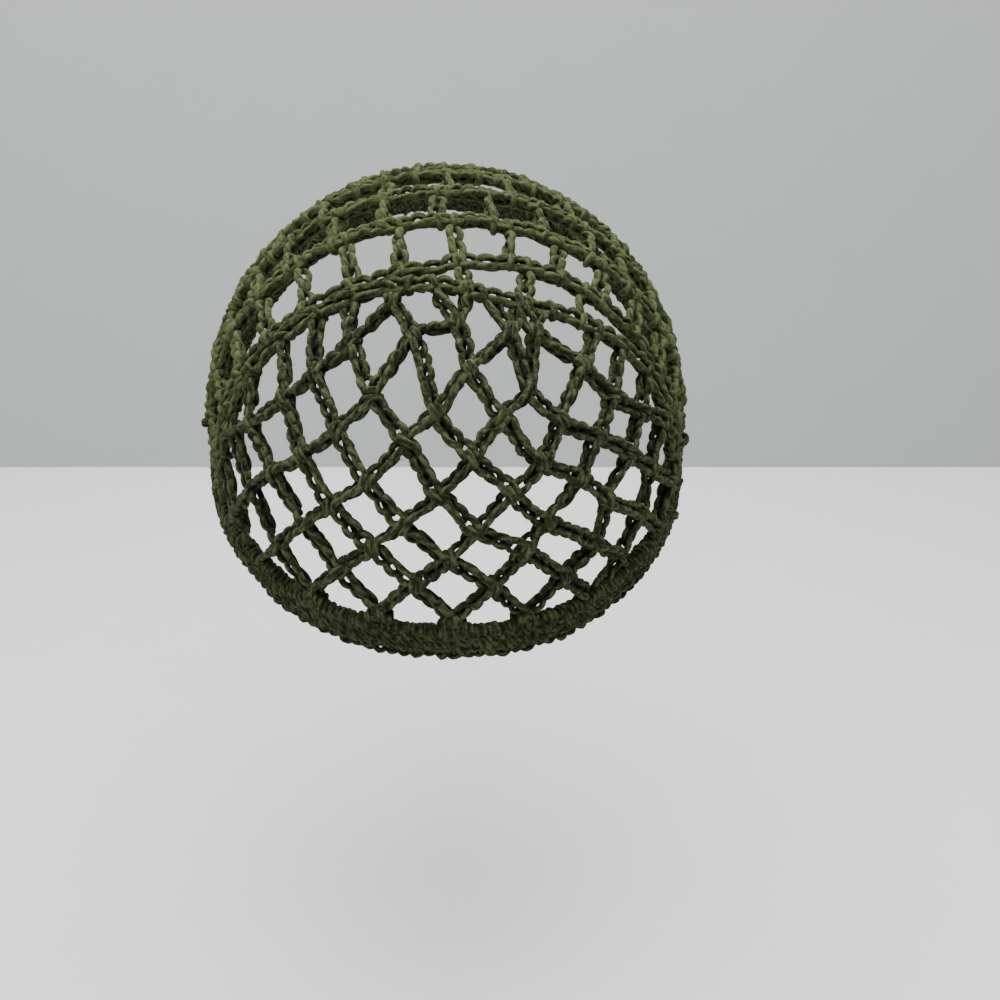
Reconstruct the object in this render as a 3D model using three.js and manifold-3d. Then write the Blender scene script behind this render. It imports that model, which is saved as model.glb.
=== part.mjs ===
import * as THREE from 'three';
import { mergeVertices } from 'three/addons/utils/BufferGeometryUtils.js';
import Module from 'manifold-3d';

// Crochet hair snood, held in the form that it takes when it is worn. Millimetres.
// +Z is up, +Y points to the back of the head, and +X is the wearer's left.
// The origin is the inside of the crown's top, where the net rests on the head.

const NET_WIDTH = 163;          // ear to ear, outside
const NET_DEPTH = 192;          // forehead to back of the whole egg that the net follows
const CROWN_RISE = 82;          // widest level up to the top of the crown
const POUCH_DROP = 130;         // widest level down to where the hanging sides would close
const CHAIN_WIDTH = 4.4;        // a plain crochet chain, the net's strand
const JOIN_CHAIN_WIDTH = 5.4;   // the fuller chain that joins the crown to the back net
const BAR_WIDTH = 3.8;          // a tall stitch between two rows of the crown
const ROW_SPACING = 18;         // chain to chain in the crown mesh
const LAST_ROW_CLEARANCE = 4;   // the least height that a crown row keeps over the hem
const HEM_WIDTH = 11;           // rows of close stitches round the edge
const HEM_THICKNESS = 4.2;
const HEM_PROUD = 0.8;          // the hem stands this much outside the net
const SEAT_GAP = 0.3;           // between two pieces that touch

// The crown's rows lie in parallel slanted planes, ear to ear. This is their common axis.
const ROW_AXIS = new THREE.Vector3(-0.07, 0.93, -0.35).normalize();

// Height of the hem's middle line by turn from the nape, as shares of CROWN_RISE.
const HEM_LINE = [
  { turn: 0, height: -0.525 },
  { turn: 30, height: -0.488 },
  { turn: 60, height: -0.335 },
  { turn: 75, height: -0.285 },
  { turn: 90, height: -0.13 },
  { turn: 105, height: 0.20 },
  { turn: 120, height: 0.46 },
  { turn: 135, height: 0.64 },
  { turn: 150, height: 0.735 },
  { turn: 180, height: 0.785 },
];
const HEM_TILT = 0.045;         // the hem sits this share of CROWN_RISE higher on the left

// The join's two chains along ROW_AXIS, as shares of half NET_DEPTH. Turn 0 is the top.
const JOIN_ROW = [
  { turn: -110, upper: 0.390, lower: 0.430 },
  { turn: -60, upper: 0.380, lower: 0.437 },
  { turn: -42, upper: 0.362, lower: 0.454 },
  { turn: -28, upper: 0.350, lower: 0.474 },
  { turn: -12, upper: 0.350, lower: 0.494 },
  { turn: 5, upper: 0.385, lower: 0.452 },
  { turn: 25, upper: 0.398, lower: 0.440 },
  { turn: 60, upper: 0.397, lower: 0.434 },
  { turn: 110, upper: 0.390, lower: 0.428 },
];
const JOIN_BARS = { first: -15.8, step: 13.7 };

// Tall stitches of the crown, one entry for each row of windows from the join forward.
const CROWN_BARS = [
  { first: -0.8, step: 11.2 },
  { first: 2.3, step: 11.2 },
  { first: 0, step: 14 },
  { first: 7, step: 14 },
  { first: 0, step: 16 },
  { first: 9, step: 18 },
];

// The back net's rows of crossings, from the join down to the hem. Heights, their slant
// per column and their lift per column squared are shares of CROWN_RISE, turns are degrees.
const BACK_ROWS = [
  { height: 0.850, slant: -0.020, lift: 0.0010, turn: 3.0, step: 6.8 },
  { height: 0.740, slant: -0.020, lift: 0.0010, turn: 3.0, step: 6.8 },
  { height: 0.625, slant: -0.023, lift: 0.0016, turn: 4.2, step: 6.8 },
  { height: 0.495, slant: -0.026, lift: 0.0024, turn: 5.5, step: 6.7 },
  { height: 0.350, slant: -0.023, lift: 0.0024, turn: 6.2, step: 6.8 },
  { height: 0.203, slant: -0.019, lift: 0.0026, turn: 6.0, step: 6.95 },
  { height: 0.070, slant: -0.017, lift: 0.0027, turn: 6.1, step: 7.3 },
  { height: -0.057, slant: -0.017, lift: 0.0027, turn: 6.3, step: 7.4 },
  { height: -0.170, slant: -0.015, lift: 0.0018, turn: 4.9, step: 7.85 },
  { height: -0.288, slant: -0.010, lift: 0.0007, turn: 4.4, step: 8.1 },
  { height: -0.425, slant: -0.009, lift: 0.0006, turn: 4.8, step: 8.1 },
];
const FIRST_BACK_ROW = -1;      // row 0 is the last one over the join, at the middle
const BACK_COLUMNS = 12;        // columns to each side of the middle
const LEAST_STRAND = 3.5;       // a crossing nearer than this to an edge is worked into it
const EDGE_REACH = 2.4;         // a strand runs on this many spans to find its edge

// Crossings that the work pulls out of line, by row and column.
const TUGS = [
  { row: 1, column: 5, turn: 5.5, height: 0.000 },
  { row: 1, column: 3, turn: -2.0, height: -0.010 },
  { row: 1, column: 1, turn: -2.9, height: -0.008 },
  { row: 2, column: 0, turn: -0.8, height: 0.055 },
  { row: 2, column: -2, turn: 0.5, height: -0.035 },
  { row: 2, column: 4, turn: 1.0, height: -0.055 },
  { row: 3, column: -3, turn: 0.4, height: -0.020 },
  { row: 3, column: 5, turn: 0.9, height: -0.030 },
  { row: 4, column: 0, turn: -0.6, height: 0.030 },
  { row: 4, column: 4, turn: -0.2, height: -0.028 },
  { row: 5, column: -5, turn: 1.2, height: -0.026 },
  { row: 7, column: 3, turn: 0.4, height: 0.022 },
  { row: 7, column: 5, turn: -1.2, height: -0.018 },
];

const STRAND_SIDES = 4;
const CHAIN_STEP = 11.6;        // degrees between the sections of a crown row
const HEM_STEPS = 72;
const COLOUR = 0x414b2a;

const wasm = await Module();
wasm.setup();

const radians = THREE.MathUtils.degToRad;
const degrees = THREE.MathUtils.radToDeg;
const mid = (a, b, share) => new THREE.Vector3().lerpVectors(a, b, share);

// A smooth curve through one column of a table whose rows are ordered by turn.
function tableAt(table, column, turn) {
  const last = table.length - 1;
  const held = THREE.MathUtils.clamp(turn, table[0].turn, table[last].turn);
  let row = 0;
  while (row < last - 1 && held > table[row + 1].turn) row += 1;
  const slope = (index) => {
    if (index === 0 || index === last) return 0;
    const rise = table[index + 1][column] - table[index - 1][column];
    return rise / (table[index + 1].turn - table[index - 1].turn);
  };
  const span = table[row + 1].turn - table[row].turn;
  const t = (held - table[row].turn) / span;
  return table[row][column] * (2 * t ** 3 - 3 * t ** 2 + 1)
    + slope(row) * span * (t ** 3 - 2 * t ** 2 + t)
    + table[row + 1][column] * (3 * t ** 2 - 2 * t ** 3)
    + slope(row + 1) * span * (t ** 3 - t ** 2);
}

// The egg that the net follows: its widest level is z = 0 here, and it hangs more
// steeply below that level than it curves above it.
const riseAt = (z) => (z > 0 ? CROWN_RISE : POUCH_DROP);

function level(point) {
  return Math.hypot(point.x / (NET_WIDTH / 2), point.y / (NET_DEPTH / 2),
    point.z / riseAt(point.z));
}

function onEgg(turn, z) {
  const girth = Math.sqrt(Math.max(0, 1 - (z / riseAt(z)) ** 2));
  const angle = radians(turn);
  return new THREE.Vector3(NET_WIDTH / 2 * girth * Math.sin(angle),
    NET_DEPTH / 2 * girth * Math.cos(angle), z);
}

function outward(point) {
  return new THREE.Vector3(point.x / (NET_WIDTH / 2) ** 2, point.y / (NET_DEPTH / 2) ** 2,
    point.z / riseAt(point.z) ** 2).normalize();
}

const toEgg = (point) => point.clone().divideScalar(level(point));
const turnOf = (point) => degrees(Math.atan2(point.x / NET_WIDTH, point.y / NET_DEPTH));

// Places on the crown: a place along the rows' axis and a turn about it from the top.
const rowUp = new THREE.Vector3(0, 0, 1).addScaledVector(ROW_AXIS, -ROW_AXIS.z).normalize();
const rowSide = new THREE.Vector3().crossVectors(ROW_AXIS, rowUp);

function onRow(place, turn) {
  const centre = ROW_AXIS.clone().multiplyScalar(place);
  if (level(centre) >= 1) return null;
  const ray = rowUp.clone().multiplyScalar(Math.cos(radians(turn)))
    .addScaledVector(rowSide, Math.sin(radians(turn)));
  let inside = 0;
  let outside = NET_WIDTH + NET_DEPTH;
  for (let pass = 0; pass < 40; pass += 1) {
    const half = (inside + outside) / 2;
    if (level(centre.clone().addScaledVector(ray, half)) < 1) inside = half;
    else outside = half;
  }
  return centre.addScaledVector(ray, inside);
}

function rowTurn(point) {
  const place = point.dot(ROW_AXIS);
  const flat = point.clone().addScaledVector(ROW_AXIS, -place);
  return degrees(Math.atan2(flat.dot(rowSide), flat.dot(rowUp)));
}

// Signed room from a point on the egg to the two edges that end the strands.
function hemHeight(turn) {
  const around = Math.abs(THREE.MathUtils.euclideanModulo(turn + 180, 360) - 180);
  const tilt = HEM_TILT * Math.sin(radians(turn));
  return (tableAt(HEM_LINE, 'height', around) + tilt) * CROWN_RISE;
}
const aboveHem = (point) => point.z - hemHeight(turnOf(point));
const joinPlace = (chain, turn) => tableAt(JOIN_ROW, chain, turn) * NET_DEPTH / 2;
const behindJoin = (point) => point.dot(ROW_AXIS) - joinPlace('lower', rowTurn(point));
const roomInBack = (point) => Math.min(behindJoin(point), aboveHem(point));

// The last point from start towards end that still has room.
function cutBack(start, end, room) {
  let kept = 0;
  let lost = 1;
  for (let pass = 0; pass < 30; pass += 1) {
    const half = (kept + lost) / 2;
    if (room(toEgg(mid(start, end, half))) > 0) kept = half;
    else lost = half;
  }
  return toEgg(mid(start, end, kept));
}

// Solids, joined and cut.
function solidOf(geometry) {
  const bare = geometry.index ? geometry.toNonIndexed() : geometry;
  bare.deleteAttribute('normal');
  bare.deleteAttribute('uv');
  const welded = mergeVertices(bare, 1e-4);
  return new wasm.Manifold(new wasm.Mesh({
    numProp: 3,
    vertProperties: new Float32Array(welded.attributes.position.array),
    triVerts: new Uint32Array(welded.index.array),
  }));
}

const joined = (solids) => solids.reduce((whole, solid) => whole.add(solid));

function meshOf(solid, name) {
  const result = solid.getMesh();
  const geometry = new THREE.BufferGeometry();
  geometry.setAttribute('position', new THREE.BufferAttribute(result.vertProperties, 3));
  geometry.setIndex(new THREE.BufferAttribute(result.triVerts, 1));
  geometry.computeVertexNormals();
  const yarn = new THREE.MeshStandardMaterial({ color: COLOUR, roughness: 0.95, metalness: 0 });
  const mesh = new THREE.Mesh(geometry, yarn);
  mesh.name = name;
  mesh.position.z = -(CROWN_RISE - CHAIN_WIDTH);
  return mesh;
}

// A strand through points on the egg, its outside flush with the egg. Its few flat sides
// hold as much as the round strand does.
function strand(points, width, steps) {
  const sunk = points.map((point) => point.clone()
    .addScaledVector(outward(point), -CHAIN_WIDTH / 2));
  const path = new THREE.CatmullRomCurve3(sunk);
  const corner = 2 * Math.PI / STRAND_SIDES;
  const reach = width / 2 * Math.sqrt(corner / Math.sin(corner));
  const section = new THREE.Shape(Array.from({ length: STRAND_SIDES }, (_, side) => (
    new THREE.Vector2(reach * Math.cos(corner * side), reach * Math.sin(corner * side)))));
  return solidOf(new THREE.ExtrudeGeometry(section, {
    extrudePath: path, steps, bevelEnabled: false,
  }));
}

// The hem: a closed ring with a rectangular section, turned once round the nape-to-crown
// line and bent so that it follows the egg at the hem's height.
function hemRing(halfWidth, inside, out) {
  const profile = [[inside, -halfWidth], [out, -halfWidth], [out, halfWidth],
    [inside, halfWidth], [inside, -halfWidth]];
  const turned = new THREE.LatheGeometry(
    profile.map(([x, y]) => new THREE.Vector2(NET_WIDTH / 2 + x, y)), HEM_STEPS);
  const corners = turned.attributes.position;
  for (let index = 0; index < corners.count; index += 1) {
    const turn = degrees(Math.atan2(corners.getX(index), corners.getZ(index)));
    const depth = Math.hypot(corners.getX(index), corners.getZ(index)) - NET_WIDTH / 2;
    const line = onEgg(turn, hemHeight(turn));
    const next = onEgg(turn + 1, hemHeight(turn + 1));
    const normal = outward(line);
    const across = new THREE.Vector3().crossVectors(next.sub(line), normal).normalize();
    const corner = line.addScaledVector(normal, depth)
      .addScaledVector(across, -corners.getY(index));
    corners.setXYZ(index, corner.x, corner.y, corner.z);
  }
  return solidOf(turned);
}

// One chain along a crown row, from hem to hem.
function rowChain(placeAt, width) {
  const points = [];
  for (let turn = -180; turn <= 180; turn += CHAIN_STEP) {
    const point = onRow(placeAt(turn), turn);
    if (point && aboveHem(point) > 0) points.push(point);
  }
  if (points.length < 3) return null;
  const ends = [[points[0], points[1]], [points.at(-1), points.at(-2)]].map(([end, next]) => {
    const beyond = end.clone().multiplyScalar(2).sub(next);
    return cutBack(end, toEgg(beyond), aboveHem);
  });
  return strand([ends[0], ...points.slice(1, -1), ends[1]], width, points.length + 1);
}

// Tall stitches between two rows, cut back where the hem takes them in.
function bars(fromPlace, toPlace, spacing, isNeeded) {
  const solids = [];
  const reach = Math.ceil(180 / spacing.step);
  for (let count = -reach; count <= reach; count += 1) {
    const turn = spacing.first + count * spacing.step;
    const start = onRow(fromPlace(turn), turn);
    const far = onRow(toPlace(turn), turn);
    if (!start || !far || !isNeeded(turn) || aboveHem(start) < HEM_WIDTH) continue;
    const end = aboveHem(far) > 0 ? far : cutBack(start, far, aboveHem);
    solids.push(strand([start, mid(start, end, 0.5), end].map(toEgg), BAR_WIDTH, 1));
  }
  return solids;
}

function crownMesh() {
  const upper = (turn) => joinPlace('upper', turn);
  const lower = (turn) => joinPlace('lower', turn);
  const isOpen = (turn) => lower(turn) - upper(turn) > 2 * CHAIN_WIDTH;
  const solids = [rowChain(upper, JOIN_CHAIN_WIDTH), rowChain(lower, JOIN_CHAIN_WIDTH),
    ...bars(upper, lower, JOIN_BARS, isOpen)];
  let previous = upper;
  CROWN_BARS.forEach((spacing, index) => {
    const place = joinPlace('upper', 0) - (index + 1) * ROW_SPACING;
    const placeAt = () => place;
    solids.push(...bars(previous, placeAt, spacing, () => true));
    const crest = onRow(place, 0);
    if (crest && aboveHem(crest) > HEM_WIDTH / 2 + LAST_ROW_CLEARANCE) {
      solids.push(rowChain(placeAt, CHAIN_WIDTH));
    }
    previous = placeAt;
  });
  return joined(solids);
}

// The back net: crossings in slanting rows, joined by two families of strands.
function crossing(row, column) {
  const line = BACK_ROWS[row - FIRST_BACK_ROW];
  if (!line || Math.abs(column) > BACK_COLUMNS) return null;
  const tug = TUGS.find((entry) => entry.row === row && entry.column === column)
    ?? { turn: 0, height: 0 };
  const height = line.height + line.slant * column + line.lift * column ** 2 + tug.height;
  return onEgg(line.turn - line.step * column + tug.turn, height * CROWN_RISE);
}

function edgePoint(inner, beyond) {
  const further = toEgg(mid(inner, beyond, EDGE_REACH));
  const target = roomInBack(beyond) > 0 && roomInBack(further) < 0 ? further : beyond;
  return cutBack(inner, target, roomInBack);
}

function backNet() {
  const isKept = (point) => point && behindJoin(point) > LEAST_STRAND
    && aboveHem(point) - HEM_WIDTH / 2 > LEAST_STRAND;
  const rows = BACK_ROWS.map((line, index) => index + FIRST_BACK_ROW);
  const solids = [];
  for (const lean of [1, -1]) {
    for (let start = -2 * BACK_COLUMNS; start <= 2 * BACK_COLUMNS; start += 1) {
      const run = rows.map((row) => crossing(row, start * 2 + lean * row));
      const kept = run.map(isKept);
      const top = kept.indexOf(true);
      const bottom = kept.lastIndexOf(true);
      if (top < 1) continue;
      const points = run.slice(top, bottom + 1);
      points.unshift(edgePoint(run[top], run[top - 1]));
      if (run[bottom + 1]) points.push(edgePoint(run[bottom], run[bottom + 1]));
      solids.push(strand(points, CHAIN_WIDTH, points.length - 1));
    }
  }
  return joined(solids);
}

// What the hem and the join chain take out of the strands that end on them.
const hemRoom = hemRing(HEM_WIDTH / 2 + SEAT_GAP, HEM_PROUD - 2 * HEM_THICKNESS, HEM_THICKNESS);
const joinRoom = rowChain((turn) => joinPlace('lower', turn), JOIN_CHAIN_WIDTH + 2 * SEAT_GAP);
const hem = hemRing(HEM_WIDTH / 2, HEM_PROUD - HEM_THICKNESS, HEM_PROUD);
const crown = crownMesh().subtract(hemRoom);
const back = backNet().subtract(hemRoom).subtract(joinRoom);

const snood = new THREE.Group();
snood.add(meshOf(crown, 'crown_mesh'), meshOf(back, 'back_net'), meshOf(hem, 'hem_band'));

export default snood;
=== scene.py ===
# %% [markdown]
# # A crochet hair snood, stitch by stitch
#
# The real snood is one olive cotton cord, worked with a hook: straight rows of windows
# over the crown, a net of diamonds over the back, and a close hem round the edge. The CAD
# pieces hold its true size and the line of every strand. Here real stitches are laid
# along the same lines, so that the net reads as crochet from close up.

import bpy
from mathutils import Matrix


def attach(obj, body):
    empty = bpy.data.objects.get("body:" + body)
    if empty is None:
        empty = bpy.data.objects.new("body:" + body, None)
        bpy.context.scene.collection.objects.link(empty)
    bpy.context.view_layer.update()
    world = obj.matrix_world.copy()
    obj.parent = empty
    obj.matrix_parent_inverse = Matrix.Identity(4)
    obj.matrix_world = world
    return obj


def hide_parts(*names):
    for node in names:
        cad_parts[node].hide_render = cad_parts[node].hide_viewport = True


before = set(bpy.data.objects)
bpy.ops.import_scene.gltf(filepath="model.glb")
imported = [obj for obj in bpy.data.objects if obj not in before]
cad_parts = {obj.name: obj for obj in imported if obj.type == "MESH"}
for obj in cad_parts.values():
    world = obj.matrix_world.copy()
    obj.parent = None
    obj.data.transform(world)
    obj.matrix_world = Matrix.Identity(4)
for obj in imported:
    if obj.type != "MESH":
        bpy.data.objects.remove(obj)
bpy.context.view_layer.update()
print("CAD pieces:", sorted(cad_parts))

# %% Tools and the seeded chance that keeps handwork uneven
import math

import bpy
import numpy as np
from mathutils import Matrix

MM = 0.001
chance = np.random.default_rng(417)

# %% [markdown]
# ## The form that the net is stretched over
# A worn net has no shape of its own. It follows an egg: half an ellipsoid above the widest
# level and a deeper half below it. One egg in two halves needs only four sizes, and every
# strand can be kept on it by scaling its points, which is why no mesh is shrink-wrapped.

# %% Sizes of the egg and of the strands
NET_WIDTH = 163 * MM
NET_DEPTH = 192 * MM
CROWN_RISE = 82 * MM
POUCH_DROP = 130 * MM
CHAIN_WIDTH = 4.4 * MM
ROW_SPACING = 18 * MM
HEM_WIDTH = 11 * MM
HALF_WIDTH = NET_WIDTH / 2
HALF_DEPTH = NET_DEPTH / 2
SEAT_HEIGHT = CROWN_RISE - CHAIN_WIDTH
print("egg from", -POUCH_DROP, "to", CROWN_RISE, "m, seat at", SEAT_HEIGHT)

# %% Points on the egg


def rise_at(height):
    return np.where(height > 0, CROWN_RISE, POUCH_DROP)


def level(points):
    shares = points / np.stack([np.full(points.shape[:-1], HALF_WIDTH),
                                np.full(points.shape[:-1], HALF_DEPTH),
                                rise_at(points[..., 2])], -1)
    return np.linalg.norm(shares, axis=-1)


def to_egg(points):
    return points / level(points)[..., None]


def on_egg(turn, height):
    turn, height = np.broadcast_arrays(np.radians(turn), height)
    girth = np.sqrt(np.maximum(0, 1 - (height / rise_at(height)) ** 2))
    return np.stack([HALF_WIDTH * girth * np.sin(turn), HALF_DEPTH * girth * np.cos(turn), height], -1)


def unit(vectors):
    return vectors / np.linalg.norm(vectors, axis=-1, keepdims=True)


def outward(points):
    return unit(points / np.stack([np.full(points.shape[:-1], HALF_WIDTH ** 2),
                                   np.full(points.shape[:-1], HALF_DEPTH ** 2),
                                   rise_at(points[..., 2]) ** 2], -1))


def turn_of(points):
    return np.degrees(np.arctan2(points[..., 0] / NET_WIDTH, points[..., 1] / NET_DEPTH))


print("crown top:", on_egg(0.0, CROWN_RISE).round(4))

# %% [markdown]
# ## The lines that the strands follow
# The crown's rows lie in parallel slanted planes, the hem is one line round the opening,
# and the back net is a table of crossings. They repeat the CAD's own numbers, in metres,
# so each stitch lands on the solid that it stands for.

# %% A smooth curve through a short table


def table_at(turns, values, turn):
    turns = np.array(turns, float)
    values = np.array(values, float)
    slopes = np.zeros(len(values))
    slopes[1:-1] = (values[2:] - values[:-2]) / (turns[2:] - turns[:-2])
    held = np.clip(turn, turns[0], turns[-1])
    row = np.clip(np.searchsorted(turns, held) - 1, 0, len(turns) - 2)
    span = turns[row + 1] - turns[row]
    t = (held - turns[row]) / span
    start = values[row] * (2 * t ** 3 - 3 * t ** 2 + 1) + slopes[row] * span * (t ** 3 - 2 * t ** 2 + t)
    return start + values[row + 1] * (3 * t ** 2 - 2 * t ** 3) + slopes[row + 1] * span * (t ** 3 - t ** 2)


# %% The hem's middle line, by turn from the nape
HEM_TURNS = [0, 30, 60, 75, 90, 105, 120, 135, 150, 180]
HEM_HEIGHTS = [-0.525, -0.488, -0.335, -0.285, -0.13, 0.20, 0.46, 0.64, 0.735, 0.785]
HEM_TILT = 0.045


def hem_height(turn):
    around = np.abs((turn + 180) % 360 - 180)
    tilt = HEM_TILT * np.sin(np.radians(turn))
    return (table_at(HEM_TURNS, HEM_HEIGHTS, around) + tilt) * CROWN_RISE


def above_hem(points):
    return points[..., 2] - hem_height(turn_of(points))


print("hem at the nape and at the forehead:", hem_height(0.0).round(4), hem_height(180.0).round(4))

# %% The crown's rows: a place along their axis and a turn from the top
ROW_AXIS = unit(np.array([-0.07, 0.93, -0.35]))
row_up = unit(np.array([0, 0, 1]) - ROW_AXIS * ROW_AXIS[2])
row_side = np.cross(ROW_AXIS, row_up)
HALVINGS = 40


def on_row(place, turn):
    place, turn = np.broadcast_arrays(place, np.radians(turn))
    centre = place[..., None] * ROW_AXIS
    ray = np.cos(turn)[..., None] * row_up + np.sin(turn)[..., None] * row_side
    inside = np.zeros(turn.shape)
    outside = np.full(turn.shape, NET_WIDTH + NET_DEPTH)
    for _ in range(HALVINGS):
        half = (inside + outside) / 2
        is_in = level(centre + half[..., None] * ray) < 1
        inside = np.where(is_in, half, inside)
        outside = np.where(is_in, outside, half)
    return centre + inside[..., None] * ray


def row_turn(points):
    flat = points - (points @ ROW_AXIS)[..., None] * ROW_AXIS
    return np.degrees(np.arctan2(flat @ row_side, flat @ row_up))


# %% The join between the crown and the back net
JOIN_TURNS = [-110, -60, -42, -28, -12, 5, 25, 60, 110]
JOIN_UPPER = [0.390, 0.380, 0.362, 0.350, 0.350, 0.385, 0.398, 0.397, 0.390]
JOIN_LOWER = [0.430, 0.437, 0.454, 0.474, 0.494, 0.452, 0.440, 0.434, 0.428]


def join_upper(turn):
    return table_at(JOIN_TURNS, JOIN_UPPER, turn) * HALF_DEPTH


def join_lower(turn):
    return table_at(JOIN_TURNS, JOIN_LOWER, turn) * HALF_DEPTH


def behind_join(points):
    return points @ ROW_AXIS - join_lower(row_turn(points))


print("the join's widest gap:", (join_lower(-12.0) - join_upper(-12.0)).round(4))

# %% The back net's crossings: height, slant, lift, turn and step of each row
BACK_ROWS = [
    (0.850, -0.020, 0.0010, 3.0, 6.80),
    (0.740, -0.020, 0.0010, 3.0, 6.80),
    (0.625, -0.023, 0.0016, 4.2, 6.80),
    (0.495, -0.026, 0.0024, 5.5, 6.70),
    (0.350, -0.023, 0.0024, 6.2, 6.80),
    (0.203, -0.019, 0.0026, 6.0, 6.95),
    (0.070, -0.017, 0.0027, 6.1, 7.30),
    (-0.057, -0.017, 0.0027, 6.3, 7.40),
    (-0.170, -0.015, 0.0018, 4.9, 7.85),
    (-0.288, -0.010, 0.0007, 4.4, 8.10),
    (-0.425, -0.009, 0.0006, 4.8, 8.10),
]
FIRST_BACK_ROW = -1
BACK_COLUMNS = 12
LEAST_STRAND = 3.5 * MM
EDGE_REACH = 2.4

# %% Crossings that the work pulls out of line: by row and column, the turn and the height
TUGS = {
    (1, 5): (5.5, 0.000),
    (1, 3): (-2.0, -0.010),
    (1, 1): (-2.9, -0.008),
    (2, 0): (-0.8, 0.055),
    (2, -2): (0.5, -0.035),
    (2, 4): (1.0, -0.055),
    (3, -3): (0.4, -0.020),
    (3, 5): (0.9, -0.030),
    (4, 0): (-0.6, 0.030),
    (4, 4): (-0.2, -0.028),
    (5, -5): (1.2, -0.026),
    (7, 3): (0.4, 0.022),
    (7, 5): (-1.2, -0.018),
}


def crossing(row, column):
    index = row - FIRST_BACK_ROW
    if index < 0 or index >= len(BACK_ROWS) or abs(column) > BACK_COLUMNS:
        return None
    height, slant, lift, turn, step = BACK_ROWS[index]
    tug_turn, tug_height = TUGS.get((row, column), (0.0, 0.0))
    share = height + slant * column + lift * column ** 2 + tug_height
    return on_egg(turn - step * column + tug_turn, share * CROWN_RISE)


print("the middle crossing of row 4:", crossing(4, 0).round(4))

# %% [markdown]
# ## From points to a laid line
# A stitch needs more than a path. It has to know which way it runs, which way is outward
# and how far along it is. Each strand is resampled in even steps, and it carries those
# directions with it, so that a stitch can be drawn flat once and then laid anywhere.

# %% Smooth curves and laid lines
LINE_STEP = 0.8 * MM


def smooth(points, samples):
    first = 2 * points[0] - points[1]
    last = 2 * points[-1] - points[-2]
    padded = np.vstack([first, points, last])
    before, start = padded[:-3, None], padded[1:-2, None]
    end, after = padded[2:-1, None], padded[3:, None]
    t = (np.arange(samples) / samples)[None, :, None]
    bend = (2 * before - 5 * start + 4 * end - after) * t ** 2
    curve = start + 0.5 * ((end - before) * t + bend + (3 * start - before - 3 * end + after) * t ** 3)
    return np.vstack([curve.reshape(-1, points.shape[1]), points[-1:]])


def walked(points):
    steps = np.linalg.norm(np.diff(points, axis=0), axis=1)
    return np.concatenate([[0], np.cumsum(steps)])


def looked_up(at, known_at, values):
    return np.stack([np.interp(at, known_at, values[:, axis]) for axis in range(values.shape[1])], 1)


def laid_line(points, sunk=CHAIN_WIDTH / 2):
    length = walked(points)
    even = np.linspace(0, length[-1], max(3, int(length[-1] / LINE_STEP) + 2))
    on_top = to_egg(looked_up(even, length, points))
    middle = on_top - outward(on_top) * sunk
    ahead = unit(np.gradient(middle, axis=0))
    side = unit(np.cross(outward(on_top), ahead))
    out = np.cross(ahead, side)
    return {"at": walked(middle), "middle": middle, "side": side, "out": out}


def laid_on(line, flat, roll):
    across = flat[:, 1] * np.cos(roll) - flat[:, 2] * np.sin(roll)
    depth = flat[:, 1] * np.sin(roll) + flat[:, 2] * np.cos(roll)
    keys = ("middle", "side", "out")
    middle, side, out = (looked_up(flat[:, 0], line["at"], line[key]) for key in keys)
    return middle + side * across[:, None] + out * depth[:, None]


# %% [markdown]
# ## The chain stitch
# A crochet chain is one loop pulled through the last. Seen from outside, the two legs of
# each loop make a V, and a single bump runs along the back. It could be faked with a
# braided texture, but a net is mostly outline, so the yarn itself is drawn: twelve points
# a stitch, in shares of the stitch's length, half width and half depth.

# %% One chain stitch as a flat table: along, across, outward
CHAIN_STITCH = np.array([
    (-0.05, -0.20, -1.00),
    (0.12, -0.32, -0.20),
    (0.34, -0.88, 0.62),
    (0.74, -1.05, 0.95),
    (1.08, -0.72, 0.40),
    (1.31, 0.00, -0.20),
    (1.08, 0.72, 0.40),
    (0.74, 1.05, 0.95),
    (0.34, 0.88, 0.62),
    (0.12, 0.32, -0.20),
    (0.00, 0.20, -1.00),
    (0.48, 0.10, -1.15),
])
CHAIN_REACH = 0.31
YARN_RADIUS = 1.00 * MM
CHAIN_PITCH = 4.3 * MM
CHAIN_HALF_WIDTH = 1.28 * MM
CHAIN_HALF_DEPTH = 1.05 * MM
PITCH_SPREAD = 0.08
WIDTH_SPREAD = 0.10
HAND_SLIP = 0.13 * MM
STITCH_SAMPLES = 2

# %% Slow waves of the work in the hand, which roll a chain and sway it
SLOW_ROLL = 0.4
SLOW_SWAY = 0.45 * MM
WAVE_LENGTHS = [18 * MM, 41 * MM, 83 * MM]
WAVE_SHARES = [0.35, 0.40, 0.25]


def slow_wave(at, depth):
    wave = 0
    for length, share in zip(WAVE_LENGTHS, WAVE_SHARES):
        wave = wave + share * np.sin(2 * np.pi * (at / length + chance.random()))
    return depth * wave


# %% A run of chain stitches along a laid line: its path, and the core that it is wound round


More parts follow.
